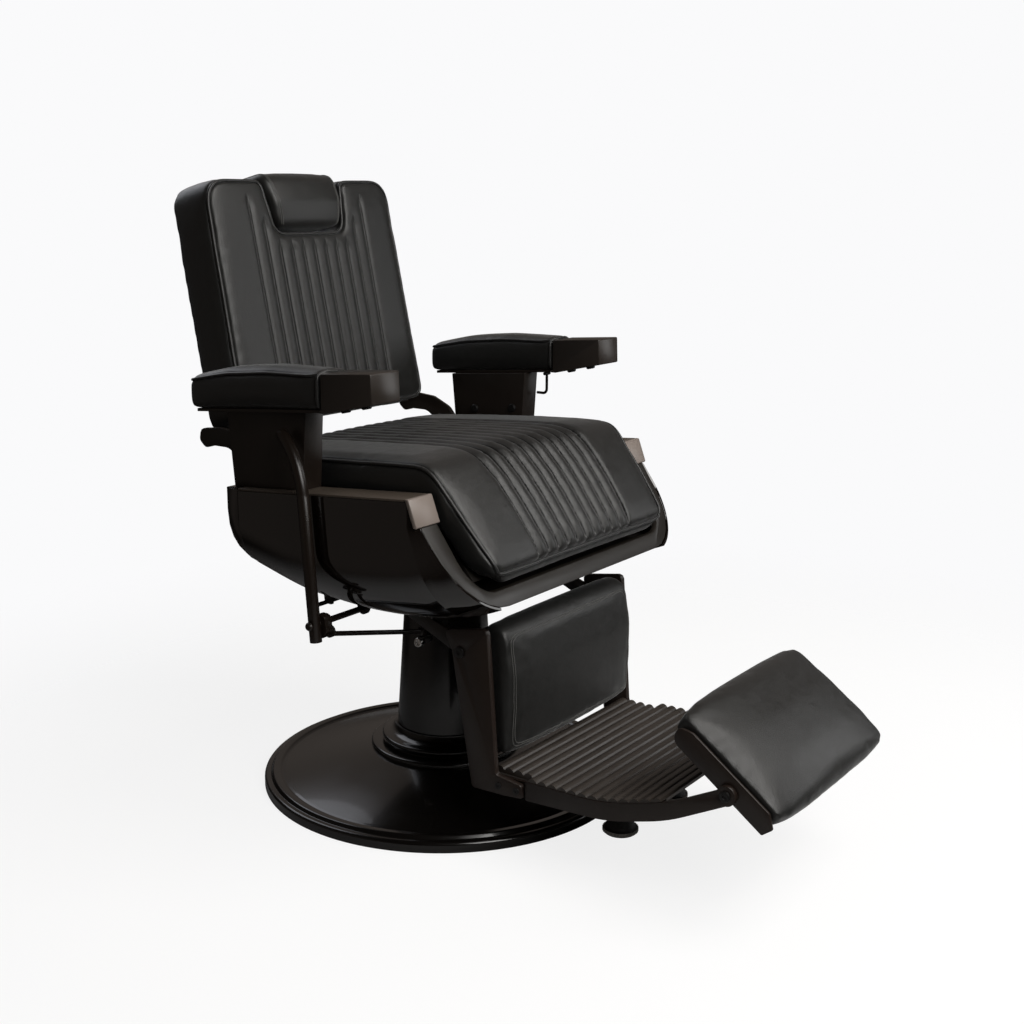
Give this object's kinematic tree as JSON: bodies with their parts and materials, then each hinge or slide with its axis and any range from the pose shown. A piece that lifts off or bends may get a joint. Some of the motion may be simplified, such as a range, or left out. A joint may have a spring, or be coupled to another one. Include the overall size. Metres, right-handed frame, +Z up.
{
  "type": "hydraulic barber chair",
  "caption": "Hydraulic barber chair with a round base, swivel seat, reclining padded back, sliding headrest, padded arms, swinging leg rest and a flip-over foot pad.",
  "frame": {"origin": "centre of the round base, on the floor", "axes": "+Z up, +X to the sitter's left, -Y to the front"},
  "size_m": [0.6935, 1.1556, 1.0409],
  "materials": {
    "base_enamel": "satin gloss, dark brown-black",
    "shell_gloss": "high gloss, brown-black",
    "satin_paint": "satin, dark brown",
    "band_satin": "satin, brown-grey",
    "cap_satin": "satin, light brown-grey",
    "black_leather": "fine grain, soft sheen",
    "back_skin": "fine texture",
    "plywood": "bare birch plywood",
    "chrome": "polished",
    "ground_steel": "ground",
    "cast_head": "painted, sand cast",
    "bearing_bronze": "turned",
    "black_screws": "black oxide",
    "tread_alloy": "painted brown-grey, ribbed",
    "rubber": "matt"
  },
  "bodies": {
    "base": {"base_plate": "ground_steel", "base_cover": "base_enamel", "foot_collar": "base_enamel", "pump_cylinder": "cast_head", "pump_bolts": "ground_steel", "gland_ring": "bearing_bronze"},
    "ram": {"ram": "ground_steel", "ram_piston": "bearing_bronze", "thrust_bearing": "ground_steel"},
    "seat": {"seat_head": "cast_head", "column_skirt": "base_enamel", "skirt_screw": "chrome", "under_pan": "satin_paint", "under_frame": "satin_paint", "seat_board": "plywood", "side_shell_left": "shell_gloss", "side_shell_right": "shell_gloss", "side_frames": "satin_paint", "front_frame": "band_satin", "end_cap_left": "cap_satin", "end_cap_right": "cap_satin", "rear_panel": "shell_gloss", "seat_cushion": "black_leather", "upright_left": "satin_paint", "upright_right": "satin_paint", "upright_bolts": "black_screws", "arm_plates": "satin_paint", "arm_pad_left": "black_leather", "arm_pad_right": "black_leather", "arm_block_left": "satin_paint", "arm_block_right": "satin_paint", "arm_screws": "black_screws", "leg_arms": "satin_paint", "shaft_hangers": "satin_paint", "back_hinges": "satin_paint", "rod_post": "satin_paint"},
    "back": {"back_cushion": "black_leather", "back_core": "plywood", "back_skin": "back_skin", "back_arms": "satin_paint", "back_pins": "ground_steel", "headrest_guide": "ground_steel"},
    "headrest": {"headrest_pad": "black_leather", "headrest_bar": "chrome"},
    "leg_rest": {"leg_plate_left": "satin_paint", "leg_plate_right": "satin_paint", "leg_bolts": "black_screws", "leg_panel": "satin_paint", "calf_cushion": "black_leather", "tread_rail_left": "satin_paint", "tread_rail_right": "satin_paint", "foot_tread": "tread_alloy", "stop_feet": "rubber", "foot_pivot_bolts": "black_screws"},
    "foot_pad": {"foot_frame": "satin_paint", "foot_cushion": "black_leather"},
    "lever": {"side_lever": "satin_paint", "lever_shaft": "satin_paint"},
    "rod": {"link_rod": "satin_paint"},
    "release": {"release_handle": "satin_paint"}
  },
  "joints": [
    {"name": "lift", "type": "slide", "parent": "base", "child": "ram", "axis": [0, 0, 1], "range_m": [0, 0.16]},
    {"name": "swivel", "type": "hinge", "parent": "ram", "child": "seat", "pos_m": [0, 0, 0.3], "axis": [0, 0, 1], "continuous": true},
    {"name": "recline", "type": "hinge", "parent": "seat", "child": "back", "pos_m": [0, 0.19, 0.562], "axis": [-1, 0, 0], "range_deg": [0, 55]},
    {"name": "leg_swing", "type": "hinge", "parent": "seat", "child": "leg_rest", "pos_m": [0, -0.187, 0.316], "axis": [-1, 0, 0], "range_deg": [0, 60]},
    {"name": "headrest_slide", "type": "slide", "parent": "back", "child": "headrest", "axis": [0, 0.2079, 0.9781], "range_m": [0, 0.07]},
    {"name": "foot_flip", "type": "hinge", "parent": "leg_rest", "child": "foot_pad", "pos_m": [0, -0.651, 0.201], "axis": [1, 0, 0], "range_deg": [-40, 100]},
    {"name": "lever_swing", "type": "hinge", "parent": "seat", "child": "lever", "pos_m": [-0.34, -0.0125, 0.362], "axis": [1, 0, 0], "range_deg": [-5, 20]},
    {"name": "rod_swing", "type": "hinge", "parent": "seat", "child": "rod", "pos_m": [-0.08837, -0.019, 0.288], "axis": [0, 0, 1], "range_deg": [-2, 2]},
    {"name": "release_pull", "type": "hinge", "parent": "seat", "child": "release", "pos_m": [0.306, -0.003, 0.6846], "axis": [1, 0, 0], "range_deg": [0, 10], "stiffness_Nm_per_rad": 1, "springref_deg": -11.46}
  ],
  "couplings": [
    {"joint": "leg_swing", "follows": "recline", "ratio": 1},
    {"joint": "rod_swing", "follows": "lever_swing", "ratio": -0.07681}
  ]
}
